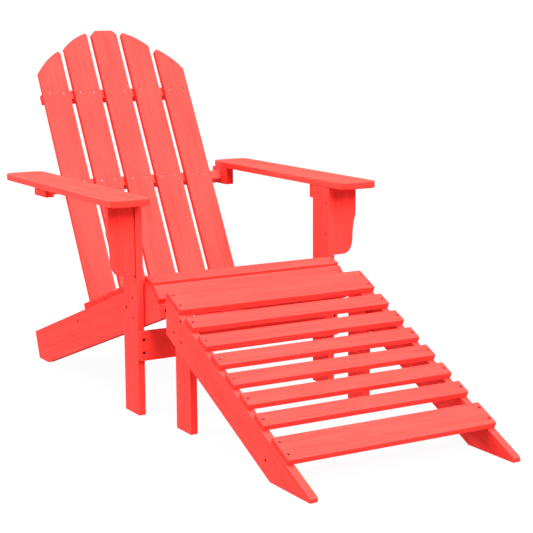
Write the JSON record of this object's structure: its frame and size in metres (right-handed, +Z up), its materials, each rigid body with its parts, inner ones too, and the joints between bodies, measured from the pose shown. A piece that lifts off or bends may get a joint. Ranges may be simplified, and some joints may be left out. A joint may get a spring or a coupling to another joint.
{
  "type": "adirondack chair with ottoman",
  "caption": "Slatted wooden adirondack chair with a reclined fan back, wide flat arms and a matching sloped ottoman, in red paint.",
  "frame": {"origin": "on the floor, at the middle of the box around chair and ottoman together", "axes": "+Z up, -Y the way the sitter faces, +X the sitter's left"},
  "size_m": [0.766, 1.6206, 0.9396],
  "materials": {
    "frame_paint": "satin red paint over softwood, grain showing through",
    "slat_paint": "satin red paint over softwood, grain showing through",
    "arm_paint": "satin red paint over softwood, grain showing through",
    "screw_steel": "zinc-plated, slightly dull"
  },
  "bodies": {
    "chair": {"front_leg_left": "frame_paint", "front_leg_right": "frame_paint", "side_rail_left": "frame_paint", "side_rail_right": "frame_paint", "front_stretcher": "frame_paint", "arm_bracket_left": "frame_paint", "arm_bracket_right": "frame_paint", "arm_cleat_left": "frame_paint", "arm_cleat_right": "frame_paint", "rear_arm_block_left": "frame_paint", "rear_arm_block_right": "frame_paint", "back_crossbar_upper": "frame_paint", "back_crossbar_middle": "frame_paint", "back_crossbar_lower": "frame_paint", "armrest_left": "arm_paint", "armrest_right": "arm_paint", "back_slat_1": "slat_paint", "back_slat_2": "slat_paint", "back_slat_3": "slat_paint", "back_slat_4": "slat_paint", "back_slat_5": "slat_paint", "seat_slat_1": "slat_paint", "seat_slat_2": "slat_paint", "seat_slat_3": "slat_paint", "seat_slat_4": "slat_paint", "seat_slat_5": "slat_paint", "seat_slat_rear": "slat_paint", "seat_nose_upper": "slat_paint", "seat_nose_lower": "slat_paint", "seat_apron": "slat_paint", "leg_screw_1": "screw_steel", "leg_screw_2": "screw_steel", "leg_screw_3": "screw_steel", "leg_screw_4": "screw_steel", "leg_screw_5": "screw_steel", "leg_screw_6": "screw_steel", "crossbar_screw_1": "screw_steel", "crossbar_screw_2": "screw_steel", "crossbar_screw_3": "screw_steel", "crossbar_screw_4": "screw_steel"},
    "ottoman": {"ottoman_rail_left": "frame_paint", "ottoman_rail_right": "frame_paint", "ottoman_leg_left": "frame_paint", "ottoman_leg_right": "frame_paint", "ottoman_foot_stretcher": "frame_paint", "ottoman_slat_1": "slat_paint", "ottoman_slat_2": "slat_paint", "ottoman_slat_3": "slat_paint", "ottoman_slat_4": "slat_paint", "ottoman_slat_5": "slat_paint", "ottoman_slat_6": "slat_paint", "ottoman_slat_7": "slat_paint", "ottoman_slat_8": "slat_paint", "ottoman_leg_screw_1": "screw_steel", "ottoman_leg_screw_2": "screw_steel", "ottoman_leg_screw_3": "screw_steel", "ottoman_leg_screw_4": "screw_steel", "ottoman_leg_screw_5": "screw_steel", "ottoman_leg_screw_6": "screw_steel"}
  },
  "joints": [
    {"name": "ottoman_slide", "type": "slide", "parent": "chair", "child": "ottoman", "axis": [0, -1, 0], "range_m": [0, 0.5]}
  ]
}
